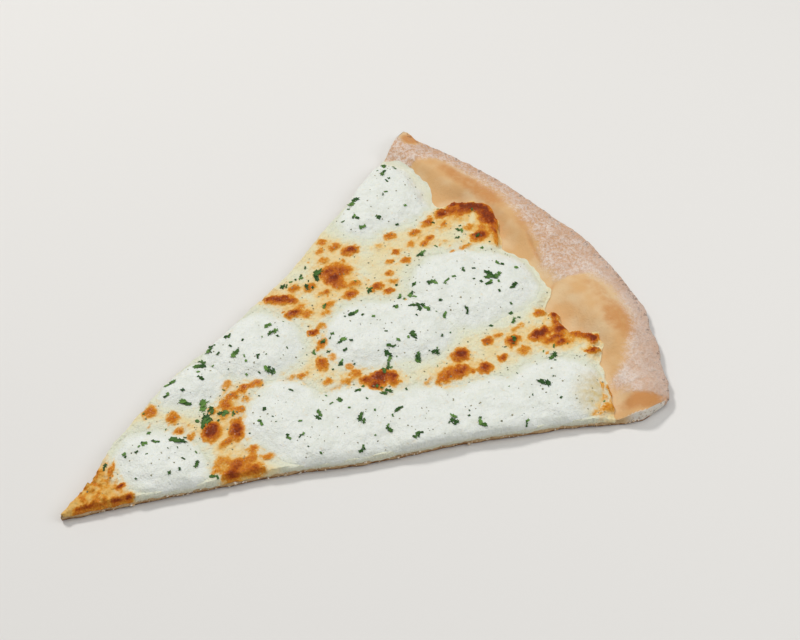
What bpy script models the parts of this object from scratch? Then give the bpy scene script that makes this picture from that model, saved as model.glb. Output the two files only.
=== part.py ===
"""One slice of white cheese pizza, an eighth of a 28 inch pie, lying flat.

A thin baked base with a puffed rim carries a layer of melted mozzarella, and seven
spread spoonfuls of ricotta lie on that, with chopped parsley over everything.
The slice is modelled with its tip at the origin, the rim at +X and the cut side
that faces the viewer at -Y. At the end everything is moved together, so that the
origin is under the middle of the slice. All sizes are in metres.
"""

import math
import random

import bmesh
import bpy
from mathutils import Vector, noise

MM = 0.001

# The pie and its cut
HALF_ANGLE = math.radians(22.9)
BASE_THICK = 4.0 * MM
MOZZARELLA_THICK = 2.0 * MM
LAYER_GAP = 0.3 * MM
CHEESE_INSET = 0.6 * MM
RICOTTA_CLEAR = 2.5 * MM

# How far the pie's edge lies from the tip, at angles from the front cut to the back cut
RIM_EDGE = [(-24, 332), (-20, 338), (-15, 345), (-11, 351.5), (-5, 353.5), (-1, 355),
            (4, 352.5), (10, 353), (18, 353), (21.4, 352.5), (24, 358)]

# How far the cheese reaches from the tip, at the same angles
CHEESE_EDGE = [(-24, 301), (-21.6, 304), (-19, 306), (-16.6, 309), (-14.2, 314), (-12.2, 306),
               (-9.5, 299), (-7, 299), (-4.6, 312), (0, 315), (3.2, 310), (6, 319), (9, 327),
               (11.6, 321), (13.4, 309), (15, 310), (17, 317), (20, 327), (24, 324)]

# How far each cut bulges outwards from a straight line, by distance from the tip
FRONT_BULGE = [(0, 0), (50, -1.6), (113, -1.9), (165, 1.2), (215, 0.2), (265, 2.4), (315, 7.2),
               (337, 0.5)]
BACK_BULGE = [(0, -0.5), (24, -0.6), (52, 4.4), (98, 6.0), (150, -0.6), (205, -4.6), (265, -2.0),
              (320, 0.8), (358, 5.0)]

# The baked rim
RIM_CREST = 8.6 * MM
RIM_OUTER = 5.6 * MM
RIM_UNDERCUT = 1.8 * MM
RIM_UNDERCUT_WIDTH = 13 * MM
RIM_ROUND = 1.8 * MM

# Air bubbles and hollows in the rim: x, y, half length along the rim, half width, height
RIM_BUBBLES = [(318, 92, 30, 14, 2.4), (326, 32, 24, 13, 2.0), (317, -60, 34, 20, 3.6),
               (299, -119, 12, 15, 1.6), (338, -14, 20, 17, -2.0), (322, 126, 10, 12, 0.8)]

# Spoonfuls of ricotta: each is spread from discs of x, y and radius
DOLLOPS = {
    "ricotta_tip": [(55, -2, 19), (63, -14, 17), (53, 10, 14), (66, 2, 13)],
    "ricotta_back_low": [(103, 33, 17), (90, 36, 12)],
    "ricotta_back_middle": [(145, 37, 27), (131, 42, 20)],
    "ricotta_centre": [(203, 7, 26), (224, -4, 26), (193, 5, 19)],
    "ricotta_rim": [(268, 4, 33), (287, -6, 24), (296, 1, 16)],
    "ricotta_back_rim": [(279, 97, 29), (254, 88, 17), (290, 113, 17)],
    "ricotta_front": [(128, -17, 24), (136, -38, 24), (158, -42, 27), (188, -66, 29),
                      (222, -82, 27), (257, -90, 26), (269, -91, 20), (136, -5, 14)],
}
DOLLOP_BLEND = 9 * MM
DOLLOP_WAVE = 1.3 * MM
DOLLOP_HEIGHT = 4.4 * MM
DOLLOP_LIP = 0.7 * MM
DOLLOP_ROUND = 15 * MM
DOLLOP_DIP = 0.5 * MM
CUT_SHOULDER = 4.5 * MM
CUT_SLUMP = 1.4 * MM

# Browned blisters that stand up out of the melted mozzarella: x, y and radius
BLISTERS = [
    (90, -2, 6.5), (102, -9, 5.5), (87, -26, 5), (86, -36, 6), (100, -33, 5), (70, 29, 4),
    (79, 19, 4), (77, 8, 3.5), (115, 23, 4.5), (110, 14, 4.5), (121, 14, 3.5), (129, 13, 3.5),
    (172, 61, 6), (179, 55, 4.5), (176, 43, 5), (175, 26, 4), (176, 17, 3.5), (166, 4, 4.5),
    (186, 62, 3.5), (194, 58, 3.5), (208, 54, 6.5), (214, 62, 6), (216, 45, 5), (210, 39, 4),
    (216, 79, 3.5), (221, 85, 3.5), (224, 77, 3.5), (231, 69, 5), (226, 34, 4), (231, 28, 3),
    (184, -26, 6), (192, -28, 5), (178, -14, 4), (220, -45, 6), (234, -37, 5.5), (238, -53, 4.5),
    (251, -53, 3.5), (253, -38, 4), (265, -45, 4.5), (278, -53, 6), (286, -60, 5.5),
    (291, -39, 4.5), (296, -46, 4), (294, -56, 4.5), (258, 65, 4), (272, 59, 4.5), (285, 60, 4.5),
    (296, 62, 5), (309, 59, 5.5), (318, 50, 6), (313, 41, 6), (303, 47, 6), (303, 32, 6),
    (253, 50, 3.5), (264, 51, 3.5), (244, 47, 3), (273, 46, 3.5),
]
BLISTER_HEIGHT = 1.3 * MM
MOZZARELLA_PUFF = 1.1 * MM
MOZZARELLA_PUFF_WIDTH = 5 * MM
MOZZARELLA_EDGE = 0.8 * MM
MOZZARELLA_EDGE_WIDTH = 6 * MM
CREASE = 0.35 * MM

# Chopped parsley: where it fell in heaps, as x, y, spread and count, and the rest
PARSLEY_HEAPS = [(237, 9, 7, 7), (285, -1, 6, 4), (198, -16, 7, 5), (92, 8, 6, 4), (212, -24, 6, 3),
                 (289, 118, 6, 3), (160, -43, 6, 2), (258, 17, 8, 4), (112, 43, 6, 3),
                 (175, -2, 6, 2), (302, 34, 4, 2), (266, -46, 4, 2)]
PARSLEY_LOOSE = 62
PARSLEY_LENGTH = (2.6 * MM, 4.6 * MM)
PARSLEY_STANDS = 0.45 * MM
PARSLEY_ROOT = 0.55 * MM
PARSLEY_CLEAR = 1.2 * MM
PARSLEY_LOBES = 6
PARSLEY_SEED = 11

# Grid sizes of the surfaces
CRUST_CELL = 6.0 * MM
MOZZARELLA_CELL = 3.6 * MM
RICOTTA_CELL = 5.0 * MM
FLAT_ANGLE = math.radians(0.6)
MERGE = 0.1 * MM

# Finishes: colour, roughness
CRUST_FINISH = ((0.78, 0.52, 0.29), 0.75)
MOZZARELLA_FINISH = ((0.88, 0.72, 0.42), 0.42)
RICOTTA_FINISH = ((0.86, 0.87, 0.80), 0.55)


def read_table(table, at):
    """The table's second value at a point between its first values, with an eased step."""
    low = table[0]
    for high in table[1:]:
        if at <= high[0]:
            share = min(max((at - low[0]) / (high[0] - low[0]), 0), 1)
            return low[1] + (high[1] - low[1]) * ease(share)
        low = high
    return low[1]


def ease(share):
    """A smooth step from 0 to 1."""
    share = min(max(share, 0), 1)
    return share * share * (3 - 2 * share)


def smooth_least(a, b, blend):
    """The smaller of two distances, rounded where they cross."""
    near = max(blend - abs(a - b), 0) / blend
    return min(a, b) - near * near * blend / 4


def polar(x, y):
    """Distance from the tip, and the angle from the slice's middle line in degrees."""
    return math.hypot(x, y), math.degrees(math.atan2(y, max(x, 0.1 * MM)))


def rim_distance(x, y):
    """How far a point lies outside the pie's edge, negative inside."""
    reach, angle = polar(x, y)
    return reach - read_table(RIM_EDGE, angle) * MM


def cut_distance(x, y):
    """How far a point lies outside the nearer cut, negative inside."""
    along = math.hypot(x, y) / MM
    inwards = -x * math.sin(HALF_ANGLE)
    front = inwards - y * math.cos(HALF_ANGLE) - read_table(FRONT_BULGE, along) * MM
    back = inwards + y * math.cos(HALF_ANGLE) - read_table(BACK_BULGE, along) * MM
    return max(front, back)


def cheese_edge_distance(x, y):
    """How far a point lies past the cheese towards the rim, negative on the cheese."""
    reach, angle = polar(x, y)
    return reach - read_table(CHEESE_EDGE, angle) * MM


def slice_field(x, y):
    return max(cut_distance(x, y), rim_distance(x, y))


def mozzarella_field(x, y):
    return max(cut_distance(x, y), cheese_edge_distance(x, y)) + CHEESE_INSET


def spread_distance(discs, x, y):
    """How far a point lies outside a spoonful that is spread from these discs."""
    found = None
    for disc_x, disc_y, radius in discs:
        away = math.hypot(x - disc_x * MM, y - disc_y * MM) - radius * MM
        found = away if found is None else smooth_least(found, away, DOLLOP_BLEND)
    wave = noise.noise(Vector((x, y, 0)) / (14 * MM)) * DOLLOP_WAVE
    return found + wave


def dollop_field(name, x, y):
    """The outline of one dollop, kept clear of the cuts, the rim and its neighbours."""
    own = spread_distance(DOLLOPS[name], x, y)
    field = max(own, mozzarella_field(x, y))
    for other, discs in DOLLOPS.items():
        if other != name and own > -DOLLOP_ROUND:
            rival = spread_distance(discs, x, y)
            field = max(field, (own - rival + 1.5 * LAYER_GAP) / 2)
    return field


def nearest_dollop(x, y):
    return min(spread_distance(discs, x, y) for discs in DOLLOPS.values())


def bare_mozzarella(x, y):
    """How far a point lies from the ricotta and the narrow flat strip round it."""
    return nearest_dollop(x, y) - RICOTTA_CLEAR


def base_top(x, y):
    """Top of the dough: flat under the cheese, then the puffed rim."""
    past_cheese = cheese_edge_distance(x, y)
    if past_cheese <= 0:
        return BASE_THICK
    to_edge = -rim_distance(x, y)
    across = past_cheese / max(past_cheese + to_edge, 1 * MM)
    climb = ease(across / 0.4)
    fall = ease((across - 0.55) / 0.45)
    height = BASE_THICK + (RIM_CREST - BASE_THICK) * climb + (RIM_OUTER - RIM_CREST) * fall
    for bubble_x, bubble_y, along, wide, rise in RIM_BUBBLES:
        tilt = math.atan2(bubble_y, bubble_x)
        dx = x - bubble_x * MM
        dy = y - bubble_y * MM
        outwards = (dx * math.cos(tilt) + dy * math.sin(tilt)) / (wide * MM)
        sideways = (dy * math.cos(tilt) - dx * math.sin(tilt)) / (along * MM)
        height += rise * MM * max(1 - outwards**2 - sideways**2, 0) * climb
    height += noise.noise(Vector((x, y, 0)) / (9 * MM)) * 0.5 * MM * climb
    return height


def base_bottom(x, y):
    """Underside of the dough: flat, and turned up a little at the very edge."""
    from_edge = -rim_distance(x, y)
    return RIM_UNDERCUT * (1 - ease(from_edge / RIM_UNDERCUT_WIDTH))


def mozzarella_bottom(_x, _y):
    return BASE_THICK + LAYER_GAP


def mozzarella_top(x, y):
    """Flat where ricotta covers it, puffed and blistered where it shows."""
    inside = -mozzarella_field(x, y)
    edge = ease(inside / MOZZARELLA_EDGE_WIDTH)
    thick = MOZZARELLA_EDGE + (MOZZARELLA_THICK - MOZZARELLA_EDGE) * edge
    shown = ease(bare_mozzarella(x, y) / MOZZARELLA_PUFF_WIDTH)
    relief = MOZZARELLA_PUFF + noise.noise(Vector((x, y, 0)) / (7 * MM)) * CREASE
    blister = 0
    for blister_x, blister_y, radius in BLISTERS:
        away = math.hypot(x - blister_x * MM, y - blister_y * MM) / (radius * MM)
        blister = max(blister, 1 - away * away)
    relief += blister * BLISTER_HEIGHT
    return BASE_THICK + LAYER_GAP + thick + shown * relief * (0.35 + 0.65 * edge)


def ricotta_bottom(_x, _y):
    return BASE_THICK + 2 * LAYER_GAP + MOZZARELLA_THICK


def ricotta_top(name, x, y):
    """A soft low dome that stands as a short wall where the slice is cut."""
    inside = max(-spread_distance(DOLLOPS[name], x, y), 0)
    outwards = 1 - min(inside / DOLLOP_ROUND, 1)
    dome = DOLLOP_LIP + (DOLLOP_HEIGHT - DOLLOP_LIP) * (1 - outwards**2.4)
    from_cut = -mozzarella_field(x, y)
    slump = CUT_SLUMP * (1 - min(from_cut / CUT_SHOULDER, 1)) ** 2
    dip = noise.noise(Vector((x, y, 40 * MM)) / (15 * MM)) * DOLLOP_DIP
    return ricotta_bottom(x, y) + max(dome - slump + dip * ease(inside / DOLLOP_ROUND), DOLLOP_LIP)


def pull_to_outline(vertex, field):
    """Moves a grid point along the field's slope on to its outline."""
    step = 0.05 * MM
    for _ in range(3):
        x, y = vertex.co.x, vertex.co.y
        here = field(x, y)
        slope = Vector((field(x + step, y) - here, field(x, y + step) - here, 0)) / step
        if slope.length < 0.2:
            return
        vertex.co -= slope * (here / slope.length_squared)


def score(sheet, field, cell):
    """Cuts the sheet's triangles along the line where a field is zero."""
    value = {}
    for vertex in sheet.verts:
        value[vertex] = field(vertex.co.x, vertex.co.y)
        if abs(value[vertex]) < 0.3 * cell:
            pull_to_outline(vertex, field)
            value[vertex] = 0
    for edge in sheet.edges[:]:
        start, end = edge.verts
        if value[start] * value[end] < 0:
            share = value[start] / (value[start] - value[end])
            _, middle = bmesh.utils.edge_split(edge, start, share)
            pull_to_outline(middle, field)
            value[middle] = 0
    for face in sheet.faces[:]:
        outline = [vertex for vertex in face.verts if value[vertex] == 0]
        if len(outline) == 2 and len(face.verts) > 3:
            bmesh.utils.face_split(face, outline[0], outline[1])
    return value


def cut_sheet(field, corner, far_corner, cell, inner_line=None):
    """A flat grid of triangles, cut along the outline where the field is zero."""
    columns = math.ceil((far_corner[0] - corner[0]) / cell)
    rows = math.ceil((far_corner[1] - corner[1]) / cell)
    sheet = bmesh.new()
    bmesh.ops.create_grid(sheet, x_segments=columns, y_segments=rows, size=0.5)
    for vertex in sheet.verts:
        vertex.co.x = corner[0] + (vertex.co.x + 0.5) * columns * cell
        vertex.co.y = corner[1] + (vertex.co.y + 0.5) * rows * cell
    bmesh.ops.triangulate(sheet, faces=sheet.faces[:])
    if inner_line:
        score(sheet, inner_line, cell)
        bmesh.ops.triangulate(sheet, faces=sheet.faces[:])
    value = score(sheet, field, cell)
    outside = []
    for face in sheet.faces:
        total = sum(value[vertex] for vertex in face.verts)
        centre = face.calc_center_median()
        if total > 0 or (total == 0 and field(centre.x, centre.y) > 0):
            outside.append(face)
    bmesh.ops.delete(sheet, geom=outside, context="FACES")
    bmesh.ops.remove_doubles(sheet, verts=sheet.verts[:], dist=MERGE)
    return sheet


def thicken(sheet, top, bottom, rings):
    """Turns a cut sheet into a closed slab between two heights, with rings round its wall."""
    lower = set(sheet.verts)
    made = bmesh.ops.extrude_face_region(sheet, geom=sheet.faces[:], use_keep_orig=True)
    upper = {item for item in made["geom"] if isinstance(item, bmesh.types.BMVert)}
    for vertex in lower:
        vertex.co.z = bottom(vertex.co.x, vertex.co.y)
    for vertex in upper:
        vertex.co.z = top(vertex.co.x, vertex.co.y)
    walls = [edge for edge in sheet.edges if (edge.verts[0] in upper) != (edge.verts[1] in upper)]
    if rings:
        bmesh.ops.subdivide_edges(sheet, edges=walls, cuts=rings, use_grid_fill=True)
    bmesh.ops.recalc_face_normals(sheet, faces=sheet.faces[:])
    return [vertex for vertex in sheet.verts if vertex not in upper and vertex not in lower]


def finish_of(name, finish):
    colour, roughness = finish
    material = bpy.data.materials.new(name)
    material.use_nodes = True
    shader = material.node_tree.nodes["Principled BSDF"]
    shader.inputs["Base Color"].default_value = (*colour, 1)
    shader.inputs["Roughness"].default_value = roughness
    return material


def make_object(name, sheet, collection, material):
    """Merges what is flat into large faces, and puts the mesh into the scene."""
    bmesh.ops.dissolve_limit(
        sheet, angle_limit=FLAT_ANGLE, verts=sheet.verts[:], edges=sheet.edges[:]
    )
    bmesh.ops.triangulate(sheet, faces=sheet.faces[:])
    mesh = bpy.data.meshes.new(name)
    sheet.to_mesh(mesh)
    sheet.free()
    mesh.shade_smooth()
    mesh.set_sharp_from_angle(angle=math.radians(50))
    made = bpy.data.objects.new(name, mesh)
    made.data.materials.append(material)
    collection.objects.link(made)
    return made


def slab(name, field, top, bottom, cell, rings, collection, material, shape_wall=None,
         inner_line=None):
    reach = 360 * MM
    half_width = 150 * MM
    rows = math.ceil(half_width / cell)
    sheet = cut_sheet(field, (0, -rows * cell), (reach, rows * cell), cell, inner_line)
    wall = thicken(sheet, top, bottom, rings)
    if shape_wall:
        for vertex in wall:
            shape_wall(vertex, top, bottom)
    return make_object(name, sheet, collection, material)


def round_rim(vertex, top, bottom):
    """Bulges the wall of the pie's outer edge, and leaves the cuts straight."""
    x, y = vertex.co.x, vertex.co.y
    if abs(rim_distance(x, y)) > 1 * MM or cut_distance(x, y) > -2 * MM:
        return
    low = bottom(x, y)
    share = 2 * (vertex.co.z - low) / (top(x, y) - low) - 1
    outwards = Vector((x, y, 0)).normalized()
    vertex.co += outwards * RIM_ROUND * math.sqrt(max(1 - share * share, 0))


def make_crust(collection):
    material = finish_of("baked_crust", CRUST_FINISH)
    return slab("crust", slice_field, base_top, base_bottom, CRUST_CELL, 3, collection,
                material, round_rim, cheese_edge_distance)


def make_mozzarella(collection):
    material = finish_of("mozzarella", MOZZARELLA_FINISH)
    return slab("mozzarella", mozzarella_field, mozzarella_top, mozzarella_bottom,
                MOZZARELLA_CELL, 0, collection, material)


def make_ricotta(name, collection, material):
    def field(x, y):
        return dollop_field(name, x, y)

    def top(x, y):
        return ricotta_top(name, x, y)

    return slab(name, field, top, ricotta_bottom, RICOTTA_CELL, 0, collection, material)


def owner_of(x, y, half_length):
    """Which node a flake of this size lies on wholly, and that node's top, or None."""
    if mozzarella_field(x, y) > -half_length - PARSLEY_CLEAR:
        return None
    if nearest_dollop(x, y) > half_length + PARSLEY_CLEAR:
        return "mozzarella", mozzarella_top
    for name in DOLLOPS:
        if dollop_field(name, x, y) < -half_length - PARSLEY_CLEAR:
            return name, lambda at_x, at_y: ricotta_top(name, at_x, at_y)
    return None


def make_flake(x, y, length, draw, top, collection):
    """One scrap of leaf with lobes, draped on the cheese and rooted in it."""
    flake = bmesh.new()
    bmesh.ops.create_circle(flake, cap_ends=True, segments=PARSLEY_LOBES, radius=length / 2)
    slim = draw.uniform(0.45, 0.7)
    turn = draw.uniform(0, math.tau)
    for vertex in flake.verts:
        lobe = draw.uniform(0.65, 1.0)
        along = vertex.co.x * lobe
        across = vertex.co.y * lobe * slim
        vertex.co.x = x + along * math.cos(turn) - across * math.sin(turn)
        vertex.co.y = y + along * math.sin(turn) + across * math.cos(turn)
    made = bmesh.ops.extrude_face_region(flake, geom=flake.faces[:], use_keep_orig=True)
    upper = {item for item in made["geom"] if isinstance(item, bmesh.types.BMVert)}
    for vertex in flake.verts:
        lift = PARSLEY_STANDS if vertex in upper else -PARSLEY_ROOT
        vertex.co.z = top(vertex.co.x, vertex.co.y) + lift
    bmesh.ops.recalc_face_normals(flake, faces=flake.faces[:])
    mesh = bpy.data.meshes.new("flake")
    flake.to_mesh(mesh)
    flake.free()
    collection.objects.link(bpy.data.objects.new("flake", mesh))


def scatter_places(draw):
    """Places for the parsley: the heaps first, then loose scraps over the whole slice."""
    for heap_x, heap_y, spread, count in PARSLEY_HEAPS:
        for _ in range(count * 3):
            yield draw.gauss(heap_x, spread / 1.5) * MM, draw.gauss(heap_y, spread / 1.5) * MM
    for _ in range(PARSLEY_LOOSE * 4):
        reach = 320 * MM * math.sqrt(draw.uniform(0.01, 1))
        angle = draw.uniform(-HALF_ANGLE, HALF_ANGLE)
        yield reach * math.cos(angle), reach * math.sin(angle)


def scatter_parsley(nodes):
    """Draws the parsley and joins each scrap to the node it lies on."""
    draw = random.Random(PARSLEY_SEED)
    most = sum(heap[3] for heap in PARSLEY_HEAPS) + PARSLEY_LOOSE
    heaps = {}
    taken = []
    for x, y in scatter_places(draw):
        length = draw.uniform(*PARSLEY_LENGTH)
        owner = owner_of(x, y, length / 2)
        near = any(math.hypot(x - a, y - b) < (length + c) / 2 for a, b, c in taken)
        if owner is None or near or len(taken) >= most:
            continue
        taken.append((x, y, length))
        name, top = owner
        if name not in heaps:
            heaps[name] = bpy.data.collections.new("parsley_on_" + name)
            bpy.context.scene.collection.children.link(heaps[name])
        make_flake(x, y, length, draw, top, heaps[name])
    for name, heap in heaps.items():
        join(nodes[name], heap)


def join(target, heap):
    """One Boolean union of a node with a collection, applied, with the collection removed."""
    union = target.modifiers.new("parsley", "BOOLEAN")
    union.operation = "UNION"
    union.operand_type = "COLLECTION"
    union.solver = "EXACT"
    union.collection = heap
    bpy.context.view_layer.update()
    graph = bpy.context.evaluated_depsgraph_get()
    joined = bpy.data.meshes.new_from_object(target.evaluated_get(graph))
    target.modifiers.clear()
    target.data = joined
    for scrap in heap.objects[:]:
        bpy.data.objects.remove(scrap)
    bpy.data.collections.remove(heap)


def put_origin_under_middle(nodes):
    """Moves all nodes together, so that the origin is under the middle of their box."""
    points = [vertex.co for node in nodes for vertex in node.data.vertices]
    low = Vector([min(point[axis] for point in points) for axis in range(3)])
    high = Vector([max(point[axis] for point in points) for axis in range(3)])
    middle = (low + high) / 2
    for node in nodes:
        node.location = (-middle.x, -middle.y, -low.z)


def main():
    for old in bpy.data.objects[:]:
        bpy.data.objects.remove(old)
    collection = bpy.data.collections.new("pizza_slice")
    bpy.context.scene.collection.children.link(collection)
    ricotta = finish_of("ricotta", RICOTTA_FINISH)
    nodes = {"crust": make_crust(collection), "mozzarella": make_mozzarella(collection)}
    for name in DOLLOPS:
        nodes[name] = make_ricotta(name, collection, ricotta)
    scatter_parsley(nodes)
    put_origin_under_middle(list(nodes.values()))


main()
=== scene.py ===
"""The looks of the slice of white cheese pizza: crust, melted mozzarella, ricotta and parsley.

Plans are drawn in millimetres with the slice's tip at (0, 0), the rim at +X and the cut
that faces the viewer at -Y. Every mesh is moved from there into the CAD frame at the end.
"""

import math
import random

import bmesh
import bpy
import numpy as np
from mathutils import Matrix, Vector, noise


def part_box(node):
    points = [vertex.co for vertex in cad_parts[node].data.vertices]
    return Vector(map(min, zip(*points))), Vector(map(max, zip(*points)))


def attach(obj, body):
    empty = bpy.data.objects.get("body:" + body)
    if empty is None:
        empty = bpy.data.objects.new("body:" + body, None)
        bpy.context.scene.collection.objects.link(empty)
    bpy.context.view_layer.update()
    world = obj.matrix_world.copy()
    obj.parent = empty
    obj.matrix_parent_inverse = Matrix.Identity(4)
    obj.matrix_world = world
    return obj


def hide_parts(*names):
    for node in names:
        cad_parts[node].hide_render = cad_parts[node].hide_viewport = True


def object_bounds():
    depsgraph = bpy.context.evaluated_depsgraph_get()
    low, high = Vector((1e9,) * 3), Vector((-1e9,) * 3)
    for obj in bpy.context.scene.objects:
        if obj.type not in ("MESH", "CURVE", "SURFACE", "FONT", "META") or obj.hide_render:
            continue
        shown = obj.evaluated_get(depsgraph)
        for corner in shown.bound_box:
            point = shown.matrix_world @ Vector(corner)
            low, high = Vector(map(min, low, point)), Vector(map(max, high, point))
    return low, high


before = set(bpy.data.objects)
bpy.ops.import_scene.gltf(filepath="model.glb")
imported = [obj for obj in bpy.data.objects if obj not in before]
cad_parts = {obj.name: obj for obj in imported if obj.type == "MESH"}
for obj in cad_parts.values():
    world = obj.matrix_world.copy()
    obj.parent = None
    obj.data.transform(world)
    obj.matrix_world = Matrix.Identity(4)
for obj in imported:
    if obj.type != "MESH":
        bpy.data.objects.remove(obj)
cad_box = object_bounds()
BOX_LOW, BOX_HIGH = np.array(cad_box[0]), np.array(cad_box[1])

# The pie and its cut, as in the CAD
HALF_ANGLE = math.radians(22.9)
BASE_THICK = 4.0
LAYER_GAP = 0.3
MOZZARELLA_THICK = 2.0
MOZZARELLA_FLAT = BASE_THICK + LAYER_GAP + MOZZARELLA_THICK

# Outlines in plan: angle from the middle line in degrees, and reach from the tip. The rim
# starts to rise at its foot
RIM_EDGE = [(-24, 332), (-20, 338), (-15, 345), (-11, 351.5), (-5, 353.5), (-1, 355),
            (4, 352.5), (10, 353), (18, 353), (21.4, 352.5), (24, 358)]
CHEESE_EDGE = [(-24, 301), (-21.6, 304), (-19, 306), (-16.6, 308), (-14.4, 315), (-13, 316),
               (-12, 309), (-11.2, 303), (-9.8, 301), (-8.7, 304), (-7.4, 299), (-4.6, 312),
               (0, 315), (3.2, 310), (5, 316.5), (7, 325.5), (9, 329.5), (10.8, 326.5),
               (12, 319), (13.4, 309), (15, 310), (17, 317), (20, 327), (24, 324)]
RIM_FOOT = [(-24, 302), (-19, 306), (-14.5, 309), (-10, 302), (-7, 303), (-3, 311), (1, 313),
            (4, 314), (8, 322), (11, 320), (14.5, 312), (18, 319), (21, 325), (25, 325)]

# How far the cuts bulge outwards: distance from the tip, and bulge
FRONT_BULGE = [(0, 0), (50, -1.6), (113, -1.9), (165, 1.2), (215, 0.2), (265, 2.4), (315, 7.2),
               (337, 0.5)]
BACK_BULGE = [(0, -0.5), (24, -0.6), (52, 4.4), (98, 6.0), (150, -0.6), (205, -4.6), (265, -2.0),
              (320, 0.8), (358, 5.0)]

# The rim: heights, then bubbles as x, y, half length along the rim, half width, height
RIM_CREST = 8.6
RIM_OUTER = 5.6
RIM_UNDERCUT = 1.8
RIM_UNDERCUT_WIDTH = 13
RIM_ROUND = 1.8
RIM_BUBBLES = [(318, 92, 30, 14, 2.4), (326, 32, 24, 13, 2.0), (317, -60, 34, 20, 3.4),
               (299, -119, 12, 15, 1.6), (338, -14, 20, 17, -2.0), (322, 126, 10, 12, 0.8)]

# Spoonfuls of ricotta: each is spread from discs of x, y and radius
DOLLOPS = {
    "ricotta_tip": [(55, -2, 19), (63, -14, 17), (53, 10, 14), (66, 2, 13)],
    "ricotta_back_low": [(103, 33, 17), (90, 36, 12)],
    "ricotta_back_middle": [(145, 37, 27), (131, 42, 20)],
    "ricotta_centre": [(203, 7, 26), (224, -4, 26), (193, 5, 19)],
    "ricotta_rim": [(268, 4, 33), (287, -6, 24), (296, 1, 16)],
    "ricotta_back_rim": [(279, 97, 29), (254, 88, 17), (290, 113, 17)],
    "ricotta_front": [(128, -17, 24), (136, -38, 24), (158, -42, 27), (188, -66, 29),
                      (222, -82, 27), (257, -90, 26), (269, -91, 20), (136, -5, 14)],
}
DOLLOP_BLEND = 9
DOLLOP_WAVE = 1.3
DOLLOP_HEIGHT = 3.9
DOLLOP_ROUND = 17
CUT_SHOULDER = 4.5
CUT_SLUMP = 1.6

# The cheese lies this far above the dough at least, and thins out over this width
CHEESE_LIFT = 0.1
CHEESE_THINS_OVER = 10

# The baked stain on the front dollop: x, y, radius
STAIN = (281, -109, 16)

# How far flour lies inwards from the pie's edge: angle in degrees, width
FLOUR_WIDTH = [(-26, 3), (-22.8, 3), (-21.2, 24), (-19.5, 30), (-17, 19), (-13, 10), (-8, 9),
               (-5.4, 15), (-4.2, 34), (-1.5, 36), (0, 31), (1.5, 24), (4, 18), (7, 14), (9.5, 10),
               (13, 9), (18, 10), (19.3, 16), (20.4, 30), (25, 34)]

# The bare knob at the back end of the rim: x, y, radius
KNOB = (326, 135, 9)

# Toasted parts of the rim: x, y, half length along the rim, half width, strength
TOASTED = [(328, 70, 42, 9, 0.8), (331, 22, 14, 7, 0.5), (324, -72, 24, 13, 0.75),
           (331, -45, 16, 9, 0.5), (299, -125, 9, 22, 1.15), (325, 134, 8, 9, 1.2),
           (316, 40, 12, 6, 0.7)]

# Folds between the rim's bubbles, each from one end to the other; painted shade darkens the skin along
# them
CREASES = [((319, -8), (328, 19)), ((303, -30), (316, -24))]

# The crisp tip: how far it reaches, and the length over which it fades out
CRISP_REACH = 22
CRISP_FADE = 24

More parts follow.
